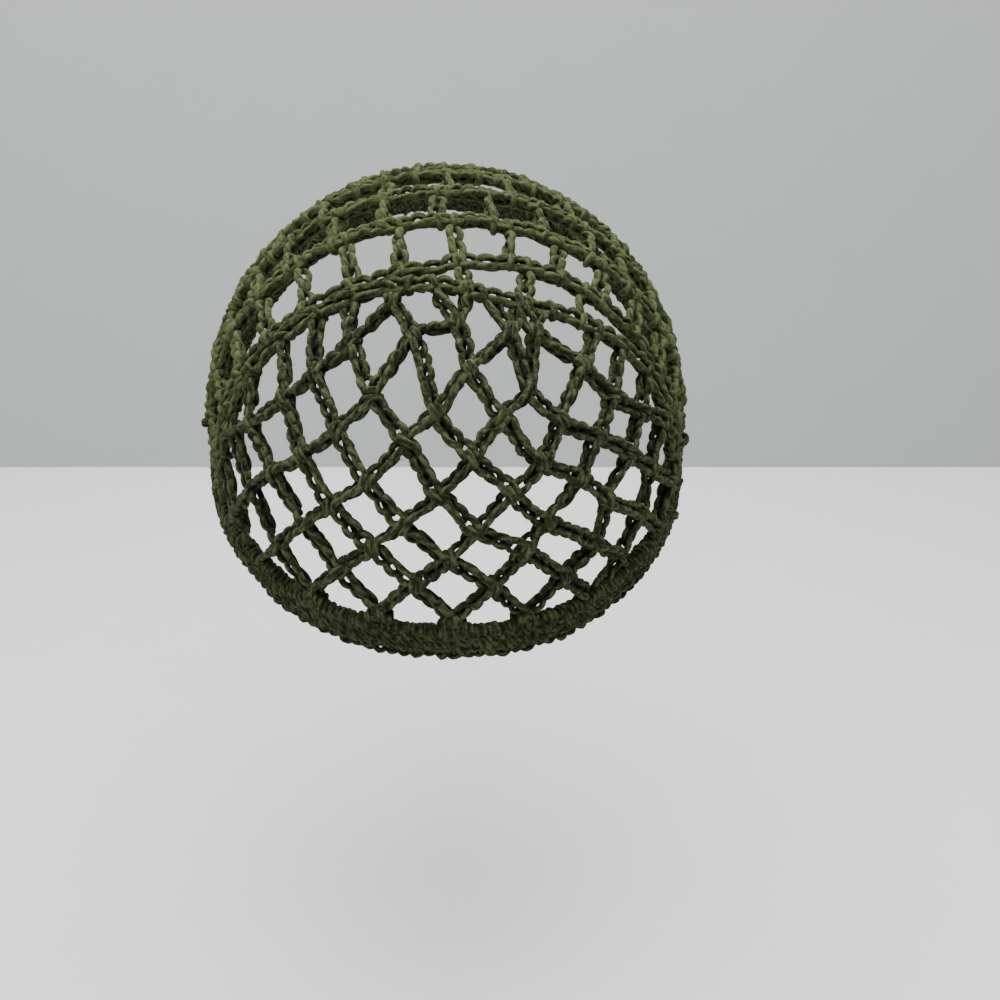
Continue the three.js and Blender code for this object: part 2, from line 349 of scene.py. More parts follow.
def chain_run(line, pitch=CHAIN_PITCH, half_width=CHAIN_HALF_WIDTH, half_depth=CHAIN_HALF_DEPTH,
              roll=0.0, twist=0.0, flare=0.0):
    length = line["at"][-1]
    count = max(1, round(length / pitch - CHAIN_REACH))
    steps = 1 + PITCH_SPREAD * chance.standard_normal(count)
    steps = steps * length / (steps.sum() + CHAIN_REACH)
    starts = np.concatenate([[0], np.cumsum(steps)[:-1]])
    widths = half_width * (1 + WIDTH_SPREAD * chance.standard_normal(count))
    widths = widths * (1 + flare * np.linspace(-1, 1, count) ** 2)
    along = starts[:, None] + steps[:, None] * CHAIN_STITCH[:, 0]
    across = widths[:, None] * CHAIN_STITCH[:, 1]
    depth = np.broadcast_to(half_depth * CHAIN_STITCH[:, 2], along.shape)
    flat = np.stack([along, across, depth], -1)
    flat = flat + HAND_SLIP * chance.standard_normal(flat.shape)
    fine = smooth(flat.reshape(-1, 3)[1:-2], STITCH_SAMPLES)
    turned = roll + twist * (fine[:, 0] / length - 0.5) + slow_wave(fine[:, 0], SLOW_ROLL)
    sway = slow_wave(fine[:, 0], SLOW_SWAY)
    straight = np.stack([fine[:, 0], np.zeros(len(fine)), np.zeros(len(fine))], -1)
    swayed = np.stack([fine[:, 0], sway, np.zeros(len(fine))], -1)
    core = laid_on(line, swayed, 0.0)
    path = laid_on(line, fine, turned) + (core - laid_on(line, straight, 0.0))
    return path, core


# %% [markdown]
# ## Yarn as a mesh
# A curve can be bevelled into a tube, but hundreds of curves are slow and their seams
# turn. Here all tubes of a piece are swept together in arrays. Each ring is carried on
# from the last one without twist, and the UV runs round the yarn and along it, so that
# the material can wind its plies. Each path brings the core that it is wound round, and
# the distance from that core is kept on the mesh: yarn deep in a stitch gets less light.

# %% Sweep many paths into one mesh
YARN_SIDES = 8
LUMP_RINGS = 3
LUMP_DEPTH = 0.09
PLY_TURN = 5.2 * MM
SLANTED_WAY = unit(np.array([0.31, 0.52, 0.79]))


def padded(paths, count):
    return np.stack([np.vstack([path, np.repeat(path[-1:], count - len(path), 0)]) for path in paths])


def swept(paths, radius, sides):
    longest = max(len(path) for path in paths)
    middle = padded(paths, longest)
    ahead = padded([unit(np.gradient(path, axis=0)) for path in paths], longest)
    side = np.empty_like(ahead)
    side[:, 0] = unit(np.cross(ahead[:, 0], SLANTED_WAY))
    for step in range(1, longest):
        carried = side[:, step - 1]
        across = (carried * ahead[:, step]).sum(1, keepdims=True)
        side[:, step] = unit(carried - ahead[:, step] * across)
    up = np.cross(ahead, side)
    lumps = 1 + LUMP_DEPTH * chance.standard_normal((len(paths), longest // LUMP_RINGS + 2))
    lump, share = np.divmod(np.arange(longest) / LUMP_RINGS, 1)
    lump = lump.astype(int)
    thickness = radius * (lumps[:, lump] * (1 - share) + lumps[:, lump + 1] * share)
    angle = 2 * np.pi * np.arange(sides) / sides
    wheel = np.cos(angle)[:, None] * side[:, :, None] + np.sin(angle)[:, None] * up[:, :, None]
    return middle[:, :, None] + thickness[:, :, None, None] * wheel


def wound_uv(wound, sides):
    shape = (len(wound) - 1, sides)
    left = np.broadcast_to(np.arange(sides) / sides, shape)
    right = left + 1 / sides
    low = np.broadcast_to(wound[:-1, None], shape)
    high = np.broadcast_to(wound[1:, None], shape)
    wall = np.stack([left, low, right, low, right, high, left, high], -1).reshape(-1, 2)
    first_cap = np.stack([left[0], np.full(sides, wound[0])], -1)
    last_cap = np.stack([left[0], np.full(sides, wound[-1])], -1)
    return [wall, first_cap, last_cap]


def yarn_mesh(name, runs, radius, sides):
    rings = swept([path for path, core in runs], radius, sides)
    corners, faces, uvs, heights = [], [], [], []
    first = 0
    ring = np.arange(sides)
    beside = (ring + 1) % sides
    for (path, core), tube in zip(runs, rings):
        count = len(path)
        corners.append(tube[:count].reshape(-1, 3))
        heights.append(np.linalg.norm(tube[:count] - core[:, None], axis=-1).ravel())
        low = first + sides * np.arange(count - 1)[:, None]
        high = low + sides
        quads = np.stack([low + ring, low + beside, high + beside, high + ring], -1)
        faces += quads.reshape(-1, 4).tolist()
        faces.append((first + ring[::-1]).tolist())
        faces.append((first + sides * (count - 1) + ring).tolist())
        uvs += wound_uv(walked(path) / PLY_TURN, sides)
        first += sides * count
    mesh = bpy.data.meshes.new(name)
    mesh.from_pydata(np.vstack(corners), [], faces)
    mesh.uv_layers.new(name="yarn").data.foreach_set("uv", np.vstack(uvs).astype(np.float32).ravel())
    height = mesh.attributes.new("height", "FLOAT", "POINT")
    height.data.foreach_set("value", (np.concatenate(heights) / MM).astype(np.float32))
    mesh.shade_smooth()
    return mesh


# %% A piece of yarn on the object: mesh, body, replaced solid and finish


def yarn_piece(name, runs, solid, finish, radius=YARN_RADIUS, sides=YARN_SIDES):
    mesh = yarn_mesh(name, runs, radius, sides)
    mesh.transform(Matrix.Translation((0, 0, -SEAT_HEIGHT)))
    mesh.materials.append(finish)
    piece = bpy.data.objects.new(name, mesh)
    bpy.context.scene.collection.objects.link(piece)
    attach(piece, "root")
    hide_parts(solid)
    triangles = sum(len(face.vertices) - 2 for face in mesh.polygons)
    print(name, "has", len(runs), "runs of yarn and", triangles, "triangles")


# %% [markdown]
# ## The cotton
# The cord is matt, with three plies wound round each other and a little fuzz. Its olive is
# uneven. Light and shade are painted along the plies: the colour is lighter on their crowns
# and almost black between them. The plies are drawn from the UV, as a wave that turns as it
# goes along. Three noises add the fibres, the mottle of the spun cotton and slow patches of
# dye. Yarn near the core of a strand is shaded darker, because little light reaches it: this
# shade is painted too. Sheen gives the soft edge of the fuzz.

# %% The yarn's finish: plies, and the scale, detail and depth of each noise
PLIES = 3
PLY_PAINTED_SHADE = 0.14
PLY_BUMP = 0.5
GRAINS = {
    "fibre": (1500, 5.0, 0.9),
    "mottle": (420, 2.0, 1.1),
    "patch": (60, 2.0, 0.4),
}
DEEP_YARN = {"From Min": 0.4, "From Max": 2.3, "To Min": 0.02, "To Max": 0.56}
RAMP_PLACES = (0.16, 0.50, 0.80)
BUMP = {"Strength": 0.7, "Distance": 0.25 * MM}
MATT_COTTON = {
    "Roughness": 0.93,
    "Specular IOR Level": 0.10,
    "Sheen Weight": 0.10,
    "Sheen Roughness": 0.55,
    "Sheen Tint": (0.55, 0.62, 0.36, 1),
}


def node(tree, kind, **settings):
    made = tree.nodes.new(kind)
    for key, value in settings.items():
        setattr(made, key, value)
    return made


def math_node(tree, operation, first, second=None):
    made = node(tree, "ShaderNodeMath", operation=operation)
    for socket, value in zip(made.inputs, (first, second)):
        if value is None:
            continue
        if isinstance(value, (int, float)):
            socket.default_value = value
        else:
            tree.links.new(value, socket)
    return made.outputs[0]


def set_inputs(made, values):
    for key, value in values.items():
        made.inputs[key].default_value = value


def noise(tree, vector, scale, detail):
    made = node(tree, "ShaderNodeTexNoise")
    set_inputs(made, {"Scale": scale, "Detail": detail})
    tree.links.new(vector, made.inputs["Vector"])
    return made.outputs["Fac"]


def ply_wave(tree, uv):
    turned = node(tree, "ShaderNodeSeparateXYZ")
    tree.links.new(uv, turned.inputs[0])
    around = math_node(tree, "MULTIPLY", turned.outputs["X"], PLIES)
    around = math_node(tree, "ADD", around, turned.outputs["Y"])
    return math_node(tree, "SINE", math_node(tree, "MULTIPLY", around, 2 * math.pi))


def deep_shade(tree):
    height = node(tree, "ShaderNodeAttribute", attribute_name="height")
    deep = node(tree, "ShaderNodeMapRange", interpolation_type="SMOOTHSTEP")
    set_inputs(deep, DEEP_YARN)
    tree.links.new(height.outputs["Fac"], deep.inputs["Value"])
    return deep.outputs["Result"]


def cotton(name, dark, middle, light):
    finish = bpy.data.materials.new(name)
    finish.use_nodes = True
    tree = finish.node_tree
    shader = tree.nodes["Principled BSDF"]
    place = node(tree, "ShaderNodeTexCoord")
    ply = ply_wave(tree, place.outputs["UV"])
    # Painted shade between the plies: the colour is lighter on their crowns and darker between them.
    tone = math_node(tree, "MULTIPLY", ply, PLY_PAINTED_SHADE)
    grains = {}
    for key, (scale, detail, depth) in GRAINS.items():
        grains[key] = noise(tree, place.outputs["Object"], scale, detail)
        uneven = math_node(tree, "SUBTRACT", grains[key], 0.5)
        tone = math_node(tree, "ADD", tone, math_node(tree, "MULTIPLY", uneven, depth))
    tone = math_node(tree, "ADD", tone, deep_shade(tree))
    ramp = node(tree, "ShaderNodeValToRGB")
    stops = ramp.color_ramp.elements
    stops.new(RAMP_PLACES[1])
    for stop, at, colour in zip(stops, RAMP_PLACES, (dark, middle, light)):
        stop.position = at
        stop.color = (*colour, 1)
    tree.links.new(tone, ramp.inputs["Fac"])
    tree.links.new(ramp.outputs["Color"], shader.inputs["Base Color"])
    bump = node(tree, "ShaderNodeBump")
    set_inputs(bump, BUMP)
    relief = math_node(tree, "ADD", math_node(tree, "MULTIPLY", ply, PLY_BUMP), grains["fibre"])
    tree.links.new(relief, bump.inputs["Height"])
    tree.links.new(bump.outputs["Normal"], shader.inputs["Normal"])
    set_inputs(shader, MATT_COTTON)
    return finish


# %% One dye in four copies: light painted over the crown, shade painted into the join, the net and the hem
SHADES = {
    "crown cotton painted light": [(0.0095, 0.0128, 0.0030), (0.0430, 0.0553, 0.0188), (0.072, 0.090, 0.0400)],
    "join cotton painted shade": [(0.0060, 0.0080, 0.0018), (0.0310, 0.0400, 0.0140), (0.064, 0.079, 0.0350)],
    "net cotton painted shade": [(0.0025, 0.0036, 0.0008), (0.0195, 0.0250, 0.0093), (0.061, 0.075, 0.0340)],
    "hem cotton painted shade": [(0.0018, 0.0026, 0.0005), (0.0125, 0.0165, 0.0053), (0.046, 0.058, 0.0232)],
}
finishes = [cotton(name, *shades) for name, shades in SHADES.items()]
crown_cotton_painted_light, join_cotton_painted_shade, net_cotton_painted_shade, hem_cotton_painted_shade = finishes
print("finishes:", [finish.name for finish in finishes])

# %% [markdown]
# ## The crown's rows
# The rows run ear to ear. Each is a plain chain of short stitches, and the tall stitches
# that hold it pull it back a little, so it hangs in shallow scallops between them. The two
# chains of the join are worked fuller, because the back net is hooked into them.

# %% Bars of the crown, and the rows that they hold: first turn and step
CROWN_BARS = [(-0.8, 11.2), (2.3, 11.2), (0, 14), (7, 14), (0, 16), (9, 18)]
JOIN_BARS = (-15.8, 13.7)
LAST_ROW_CLEARANCE = 4 * MM
HEM_TUCK = 1.5 * MM
SCALLOP = 1.1 * MM
ROW_TURN_STEP = 0.5


def scallop(turn, spacing):
    first, step = spacing
    return SCALLOP * np.abs(np.sin(np.pi * (turn - first) / step))


def clear_of_hem(points):
    return above_hem(points) > HEM_WIDTH / 2 - HEM_TUCK


def row_points(place_at):
    turns = np.arange(-180, 180, ROW_TURN_STEP)
    points = on_row(place_at(turns), turns)
    is_clear = clear_of_hem(points)
    crest = int(np.argmin(np.abs(turns)))
    low = crest - int(np.argmin(is_clear[crest::-1]))
    high = crest + int(np.argmin(is_clear[crest:]))
    return points[low + 1:high]


first_place = float(join_upper(0.0))
row_places = [first_place - (index + 1) * ROW_SPACING for index in range(len(CROWN_BARS))]
print("crown rows along the axis, in mm:", [round(place / MM, 1) for place in row_places])

# %% Chains over the crown
ROW_PITCH = 3.8 * MM
ROW_HALF_WIDTH = 1.56 * MM
ROW_YARN_RADIUS = 1.06 * MM
row_lines = []
for place, spacing in zip(row_places, CROWN_BARS):
    crest = on_row(place, 0.0)
    if above_hem(crest) < HEM_WIDTH / 2 + LAST_ROW_CLEARANCE:
        continue
    row_lines.append(laid_line(row_points(lambda turn: place - scallop(turn, spacing))))
row_runs = [chain_run(line, ROW_PITCH, ROW_HALF_WIDTH) for line in row_lines]
yarn_piece("crown_rows", row_runs, "crown_mesh", crown_cotton_painted_light, radius=ROW_YARN_RADIUS)

# %% The two chains of the join
JOIN_PITCH = 4.8 * MM
JOIN_HALF_WIDTH = 1.55 * MM
JOIN_HALF_DEPTH = 1.2 * MM
JOIN_YARN_RADIUS = 1.08 * MM


def scalloped_upper(turn):
    return join_upper(turn) + scallop(turn, CROWN_BARS[0])


join_runs = []
for place_at in (scalloped_upper, join_lower):
    line = laid_line(row_points(place_at))
    join_runs.append(chain_run(line, JOIN_PITCH, JOIN_HALF_WIDTH, JOIN_HALF_DEPTH))
yarn_piece("join_chains", join_runs, "crown_mesh", join_cotton_painted_shade, radius=JOIN_YARN_RADIUS)

# %% [markdown]
# ## The crown's bars
# Between two rows stand short bars of two or three long stitches. They are the same chain,
# slimmer and drawn out, wider at both ends, and one turn of yarn is hooked round the row at
# each foot. Their roll differs from bar to bar, so some show a V and some an open loop.

# %% A coil of yarn: it starts on the inside of the net, and its ends are tucked in
COIL_STEPS = 12
COIL_START = (-2.1, -1.1)
COIL_TUCK = 0.35
COIL_ENDS = 4


def coil(middle, axis, out, radius, turns, pitch, flatten=1.0, tuck=COIL_TUCK):
    up = unit(np.cross(out, axis))
    share = np.linspace(0, 1, int(turns * COIL_STEPS) + 1)
    angle = 2 * np.pi * turns * share + chance.uniform(*COIL_START)
    tucked = np.minimum(1, tuck + COIL_ENDS * np.minimum(share, 1 - share))
    slide = (share - 0.5) * turns * pitch * tucked
    core = middle + slide[:, None] * axis
    turn = np.cos(angle)[:, None] * up + flatten * np.sin(angle)[:, None] * out
    return core + radius * tucked[:, None] * turn, core


# %% Bars between the rows
BAR_INSET = 2.2 * MM
BAR_SUNK = 0.5 * MM
BAR_FLARE = 0.55
BAR_PITCH = 4.9 * MM
BAR_HALF_WIDTH = 1.12 * MM
BAR_ROLL = 0.9
BAR_TWIST = 0.6
BAR_SAMPLES = 60
BAR_YARN_RADIUS = 1.08 * MM
FOOT_RADIUS = 1.90 * MM
FOOT_TURNS = 1.0
FOOT_PITCH = 1.6 * MM
FOOT_FLATTEN = 0.9
FOOT_TILT = 0.35
bar_runs = []
foot_runs = []


def trimmed(points, inset):
    length = walked(points)
    inside = (length >= inset) & (length <= length[-1] - inset)
    return points[inside]


def stand_bars(from_place, to_place, spacing, is_needed):
    first, step = spacing
    reach = math.ceil(180 / step)
    for count in range(-reach, reach + 1):
        turn = first + count * step
        if not is_needed(turn):
            continue
        start = on_row(from_place(turn), turn)
        far = on_row(to_place(turn), turn)
        if above_hem(start) < HEM_WIDTH:
            continue
        points = to_egg(start + (far - start) * np.linspace(0, 1, BAR_SAMPLES)[:, None])
        points = points[clear_of_hem(points)]
        line = laid_line(trimmed(points, BAR_INSET), CHAIN_WIDTH / 2 + BAR_SUNK)
        roll = chance.normal(0, BAR_ROLL)
        twist = chance.normal(0, BAR_TWIST)
        bar_runs.append(chain_run(line, BAR_PITCH, BAR_HALF_WIDTH, roll=roll, twist=twist, flare=BAR_FLARE))
        for foot in (points[0], points[-1]):
            out = outward(foot)
            middle = foot - out * CHAIN_WIDTH / 2
            along_row = unit(np.cross(ROW_AXIS, out) + FOOT_TILT * chance.standard_normal(3))
            foot_runs.append(coil(middle, along_row, out, FOOT_RADIUS,
                                  FOOT_TURNS, FOOT_PITCH, FOOT_FLATTEN))


def join_is_open(turn):
    return join_lower(turn) - join_upper(turn) > 2 * CHAIN_WIDTH


stand_bars(join_upper, join_lower, JOIN_BARS, join_is_open)
previous = join_upper
for place, spacing in zip(row_places, CROWN_BARS):
    here = lambda turn, place=place: place
    stand_bars(previous, here, spacing, lambda turn: True)
    previous = here
yarn_piece("crown_bars", bar_runs, "crown_mesh", crown_cotton_painted_light, radius=BAR_YARN_RADIUS)
yarn_piece("crown_feet", foot_runs, "crown_mesh", crown_cotton_painted_light, radius=BAR_YARN_RADIUS)

# %% [markdown]
# ## The net over the back
# Chains of about four stitches hang between the crossings, and each crossing is one close
# stitch hooked round the loop above. The strands run on two slants. Those of one slant
# show their flat V side, and those of the other mostly their edge with its small holes.
# Each length between two crossings is its own run, with its own small roll.

# %% The two slants: name, usual roll, its spread, half width and half depth
JOIN_TUCK = 1.2 * MM
SPAN_SAMPLES = 24
NET_TWIST = 0.5
NET_FLARE = 0.12
NET_YARN_RADIUS = 1.05 * MM
NET_LEANS = {
    1: ("net_strands_one_way", 0.0, 0.40, 1.44 * MM, 1.05 * MM),
    -1: ("net_strands_other_way", 1.1, 0.45, 1.30 * MM, 0.85 * MM),
}

# %% Strands of both slants, cut at the join and the hem


def room_in_back(point):
    return min(behind_join(point), above_hem(point))


def cut_back(start, end):
    kept = 0.0
    lost = 1.0
    for _ in range(HALVINGS):
        half = (kept + lost) / 2
        if room_in_back(to_egg(start + (end - start) * half)) > 0:
            kept = half
        else:
            lost = half
    return to_egg(start + (end - start) * kept)


def edge_point(inner, beyond):
    further = to_egg(inner + (beyond - inner) * EDGE_REACH)
    reaches = room_in_back(beyond) > 0 and room_in_back(further) < 0
    return cut_back(inner, further if reaches else beyond)


def is_kept(point):
    return (point is not None and behind_join(point) > LEAST_STRAND
            and above_hem(point) - HEM_WIDTH / 2 > LEAST_STRAND)


back_rows = range(FIRST_BACK_ROW, FIRST_BACK_ROW + len(BACK_ROWS))
knots = {}
combs = {}
join_ends = []
strands = {lean: [] for lean in NET_LEANS}
for lean in strands:
    for start in range(-2 * BACK_COLUMNS, 2 * BACK_COLUMNS + 1):
        run = [(row, start * 2 + lean * row) for row in back_rows]
        points = [crossing(*spot) for spot in run]
        kept = [is_kept(point) for point in points]
        if not any(kept) or kept[0]:
            continue
        top = kept.index(True)
        bottom = len(kept) - 1 - kept[::-1].index(True)
        for spot, point in list(zip(run, points))[top:bottom + 1]:
            knots[spot] = point
        chosen = [edge_point(points[top], points[top - 1])] + points[top:bottom + 1]
        if behind_join(chosen[0]) < above_hem(chosen[0]):
            join_ends.append(chosen[0])
        if bottom + 1 < len(points) and points[bottom + 1] is not None:
            chosen.append(edge_point(points[bottom], points[bottom + 1]))
            if room_in_back(points[bottom + 1]) > HEM_WIDTH / 2:
                combs[run[bottom + 1]] = points[bottom + 1]
        strands[lean].append(np.array(chosen))
print("crossings:", len(knots), "strands:", {lean: len(found) for lean, found in strands.items()})

# %% Chains between the crossings
LEAST_POINTS = 4
strand_runs = []
for lean, (name, usual_roll, roll_spread, half_width, half_depth) in NET_LEANS.items():
    net_runs = []
    for points in strands[lean]:
        fine = to_egg(smooth(points, SPAN_SAMPLES))
        for start in range(0, len(fine) - 1, SPAN_SAMPLES):
            span = fine[start:start + SPAN_SAMPLES + 1]
            span = span[(behind_join(span) > JOIN_TUCK) & clear_of_hem(span)]
            if len(span) < LEAST_POINTS or walked(span)[-1] < CHAIN_WIDTH / 2:
                continue
            roll = chance.normal(usual_roll, roll_spread)
            twist = chance.normal(0, NET_TWIST)
            net_runs.append(chain_run(laid_line(span), CHAIN_PITCH, half_width, half_depth,
                                      roll=roll, twist=twist, flare=NET_FLARE))
    yarn_piece(name, net_runs, "back_net", net_cotton_painted_shade, radius=NET_YARN_RADIUS)
    strand_runs += net_runs

# %% Close stitches round the crossings and the ends at the join: turns, pitch and flattening
UP = np.array([0, 0, 1.0])
KNOT_RADIUS = 2.3 * MM
KNOT_TILT = 0.5
CROSSING_KNOT = (1.9, 2.1 * MM, 0.85)
JOIN_KNOT = (1.2, 1.9 * MM, 0.90)
knot_runs = []


def tie_knot(point, usual_axis, kind):
    out = outward(point)
    axis = unit(usual_axis(out) + KNOT_TILT * chance.standard_normal(3))
    knot_runs.append(coil(point - out * CHAIN_WIDTH / 2, axis, out, KNOT_RADIUS, *kind))


for point in knots.values():
    tie_knot(point, lambda out: unit(np.cross(UP, out)), CROSSING_KNOT)
for point in join_ends:
    tie_knot(point, lambda out: np.cross(ROW_AXIS, out), JOIN_KNOT)
yarn_piece("net_knots", knot_runs, "back_net", net_cotton_painted_shade)

# %% [markdown]
# ## The hem
# The hem is three rows of close stitches, a shorter upright row where the net comes in, and
# a chain along the lower edge. A close stitch has two slanted legs outside and two short
# ones inside, so one coil that goes round and round the row makes both faces at once.

# %% The hem's line, closed on itself
HEM_PROUD = 0.8 * MM
HEM_THICKNESS = 4.2 * MM
HEM_TURN_STEPS = 1441
HEM_EVEN_STEPS = 1200
hem_turns = np.linspace(0, 360, HEM_TURN_STEPS)
hem_middle = on_egg(hem_turns, hem_height(hem_turns))
hem_walked = walked(hem_middle)
hem_length = hem_walked[-1]
hem_even = np.linspace(0, hem_length, HEM_EVEN_STEPS)
hem_points = looked_up(hem_even, hem_walked, hem_middle)
hem_out = outward(hem_points)
hem_ahead = unit(np.gradient(hem_points, axis=0))
hem_ahead[0] = hem_ahead[-1] = unit(hem_ahead[0] + hem_ahead[-1])
hem_up = unit(np.cross(hem_ahead, hem_out))
hem_frame = (hem_points, hem_up, hem_out)
print("the hem is", round(hem_length / MM), "mm round")


def on_hem(along, up, out):
    middle, upward, outside = (looked_up(along % hem_length, hem_even, values) for values in hem_frame)
    return middle + upward * up[:, None] + outside * out[:, None]


# %% A close stitch and a tall one as flat tables: along, up, outward
CLOSE_STITCH = np.array([
    (0.16, -1.00, 0.10),
    (0.12, -0.45, 0.95),
    (0.36, 0.50, 0.95),
    (0.42, 1.00, 0.10),
    (0.44, 0.30, -0.95),
    (0.52, -0.60, -0.95),
    (0.60, -1.00, 0.10),
    (0.60, -0.45, 0.95),
    (0.86, 0.50, 0.95),
    (0.92, 1.00, 0.10),
    (1.04, 0.00, -1.00),
])
TALL_STITCH = np.array([
    (0.25, -1.00, 0.10),
    (0.25, -0.50, 0.90),
    (0.25, 0.50, 0.90),
    (0.27, 1.00, 0.10),
    (0.45, 0.40, -0.95),
    (0.62, -0.50, -0.95),
    (0.75, -1.00, 0.10),
    (0.75, -0.50, 0.90),
    (0.75, 0.50, 0.90),
    (0.77, 1.00, 0.10),
    (1.00, 0.00, -1.00),
])

# %% The hem's rows: place across the hem, half height and stitch
HEM_PITCH = 3.7 * MM
HEM_ROWS = [
    (-2.6 * MM, 1.35 * MM, CLOSE_STITCH),
    (-0.3 * MM, 1.35 * MM, CLOSE_STITCH),
    (2.0 * MM, 1.35 * MM, CLOSE_STITCH),
    (3.9 * MM, 1.00 * MM, TALL_STITCH),
]
HEM_HALF_DEPTH = 1.35 * MM
HEM_STAGGER = 0.37
HEM_SPREAD = 0.10
HEM_SLIP = 0.20 * MM
HEM_SIDES = 7
hem_count = round(hem_length / HEM_PITCH)
hem_step = hem_length / hem_count
hem_sunk = HEM_PROUD - HEM_THICKNESS / 2
print("stitches in a row of the hem:", hem_count)

# %% Rows of stitches round the hem


def hem_run(along, up, out):
    flat = np.stack([along * hem_step, up, out], -1).reshape(-1, 3)
    flat = flat + HEM_SLIP * chance.standard_normal(flat.shape)
    closed = np.vstack([flat, flat[:1] + [hem_length, 0, 0]])
    fine = smooth(closed, STITCH_SAMPLES)
    core = on_hem(fine[:, 0], np.full(len(fine), flat[:, 1].mean()), np.full(len(fine), hem_sunk))
    return on_hem(*fine.T), core


hem_runs = []
for row, (centre, half_height, stitch) in enumerate(HEM_ROWS):
    along = (np.arange(hem_count) + HEM_STAGGER * row)[:, None] + stitch[:, 0]
    size = 1 + HEM_SPREAD * chance.standard_normal((hem_count, 1))
    up = centre + half_height * stitch[:, 1] * size
    out = hem_sunk + HEM_HALF_DEPTH * stitch[:, 2] * size
    hem_runs.append(hem_run(along, up, out))
yarn_piece("hem_rows", hem_runs, "hem_band", hem_cotton_painted_shade, sides=HEM_SIDES)

# %% A chain along the lower edge
EDGE_INSET = 1.9 * MM
EDGE_PROUD = 0.3 * MM
EDGE_SWAY = 0.35 * MM
EDGE_HALF_DEPTH = 1.2 * MM
along = np.arange(hem_count)[:, None] + CHAIN_STITCH[:, 0]
across = CHAIN_HALF_WIDTH * CHAIN_STITCH[:, 1] + EDGE_SWAY * chance.standard_normal((hem_count, 1))
depth = np.broadcast_to(EDGE_HALF_DEPTH * CHAIN_STITCH[:, 2], along.shape)
edge_run = hem_run(along, EDGE_INSET - HEM_WIDTH / 2 + across, hem_sunk + EDGE_PROUD + depth)
yarn_piece("hem_edge", [edge_run], "hem_band", hem_cotton_painted_shade, sides=HEM_SIDES)

# %% [markdown]
# ## Combs at the hem
# The lowest crossings end in the hem. Five tall stitches are worked over each of them, side
# by side like the teeth of a comb, and they come down into the hem's upper row.

# %% Five tall stitches over each of the lowest crossings
COMB_TEETH = 5
COMB_STEP = 1.5 * MM
COMB_FALL = 0.75
COMB_FOOT = 3.6 * MM
COMB_OVER = 1.6 * MM
COMB_SAMPLES = 3
SLIM_YARN_RADIUS = 0.85 * MM
COMB_TOOTH = np.array([
    (0.0, 0.0, 0.5),
    (0.0, 0.5, 1.7),
    (0.0, 0.9, 1.5),
    (0.1, 1.0, 0.0),
    (0.2, 0.9, -1.5),
    (0.2, 0.0, -1.2),
])
comb_runs = []
for point in combs.values():
    along = np.interp(turn_of(point) % 360, hem_turns, hem_walked)
    foot = on_hem(np.array([along]), np.zeros(1), np.zeros(1))[0]
    top = np.linalg.norm(point - foot) + COMB_OVER
    for tooth in range(COMB_TEETH):
        shift = (tooth - (COMB_TEETH - 1) / 2) * COMB_STEP
        crest = top - COMB_FALL * abs(shift)
        flat = np.stack([along + shift + COMB_STEP * COMB_TOOTH[:, 0],
                         COMB_FOOT + (crest - COMB_FOOT) * COMB_TOOTH[:, 1],
                         MM * COMB_TOOTH[:, 2] - CHAIN_WIDTH / 2], -1)
        fine = smooth(flat + HAND_SLIP * chance.standard_normal(flat.shape), COMB_SAMPLES)
        core = on_hem(fine[:, 0], fine[:, 1], np.full(len(fine), -CHAIN_WIDTH / 2))
        comb_runs.append((on_hem(*fine.T), core))
print("combs:", len(combs))
yarn_piece("net_combs", comb_runs, "back_net", net_cotton_painted_shade, radius=SLIM_YARN_RADIUS)

# %% [markdown]
# ## Loose loops and fuzz
# Where the snood was turned or its yarn was joined, a loop stands out of the edge. They are
# few and each is in its own place, so a short table lists them. The fuzz is short fibres
# that leave the yarn anywhere. It is made as real fibres, because it softens the outline.

# %% Loops that stand out: turn, share of the crown's rise, size and how far out in mm
LOOSE_LOOPS = [
    (72.0, 0.05, 1.5, 1.6),
    (66.0, -0.19, 1.4, 1.4),
    (48.5, -0.36, 1.3, 1.6),
    (-72.0, -0.02, 1.6, 2.0),
    (-73.0, -0.21, 1.4, 1.6),
    (-66.5, -0.30, 1.5, 3.0),
]
LOOP_TURNS = 2.0
LOOP_PITCH = 1.0 * MM
LOOP_TILT = 0.4
loop_runs = []
for turn, height, size, stand in LOOSE_LOOPS:
    point = on_egg(turn, height * CROWN_RISE)
    out = outward(point)
    level_way = unit(np.cross(out, UP) + chance.normal(0, LOOP_TILT, 3))
    middle = point + out * (stand * MM - CHAIN_WIDTH / 2)
    axis = unit(np.cross(level_way, out))
    loop_runs.append(coil(middle, axis, out, size * MM, LOOP_TURNS, LOOP_PITCH, tuck=1.0))
yarn_piece("loose_loops", loop_runs, "back_net", net_cotton_painted_shade, radius=SLIM_YARN_RADIUS)

# %% Short fibres all over the yarn
FIBRE_RADIUS = 0.035 * MM
FIBRE_LENGTH = 1.0 * MM
FIBRE_SPREAD = (0.5, 1.4)
FIBRE_HALF = 0.6
FIBRE_ROOT = 0.8
FIBRE_STRAY = 0.6
FIBRE_BEND = 0.5
FIBRE_SIDES = 3
NET_FIBRES = 6000
HEM_FIBRES = 3000


def fuzz(name, runs, count, solid, finish):
    paths = np.vstack([path for path, core in runs])
    cores = np.vstack([core for path, core in runs])
    chosen = chance.integers(0, len(paths), count)
    away = unit(paths[chosen] - cores[chosen])
    away = unit(away + chance.normal(0, FIBRE_STRAY, (count, 3)))
    bent = unit(away + chance.normal(0, FIBRE_BEND, (count, 3)))
    half = FIBRE_HALF * FIBRE_LENGTH * chance.uniform(*FIBRE_SPREAD, (count, 1))
    root = paths[chosen] + away * FIBRE_ROOT * YARN_RADIUS
    middle = root + half * away
    tip = middle + half * bent
    fibre_paths = np.stack([root, middle, tip], 1)
    fibre_cores = np.repeat(cores[chosen][:, None], 3, 1)
    fibres = list(zip(fibre_paths, fibre_cores))
    yarn_piece(name, fibres, solid, finish, radius=FIBRE_RADIUS, sides=FIBRE_SIDES)


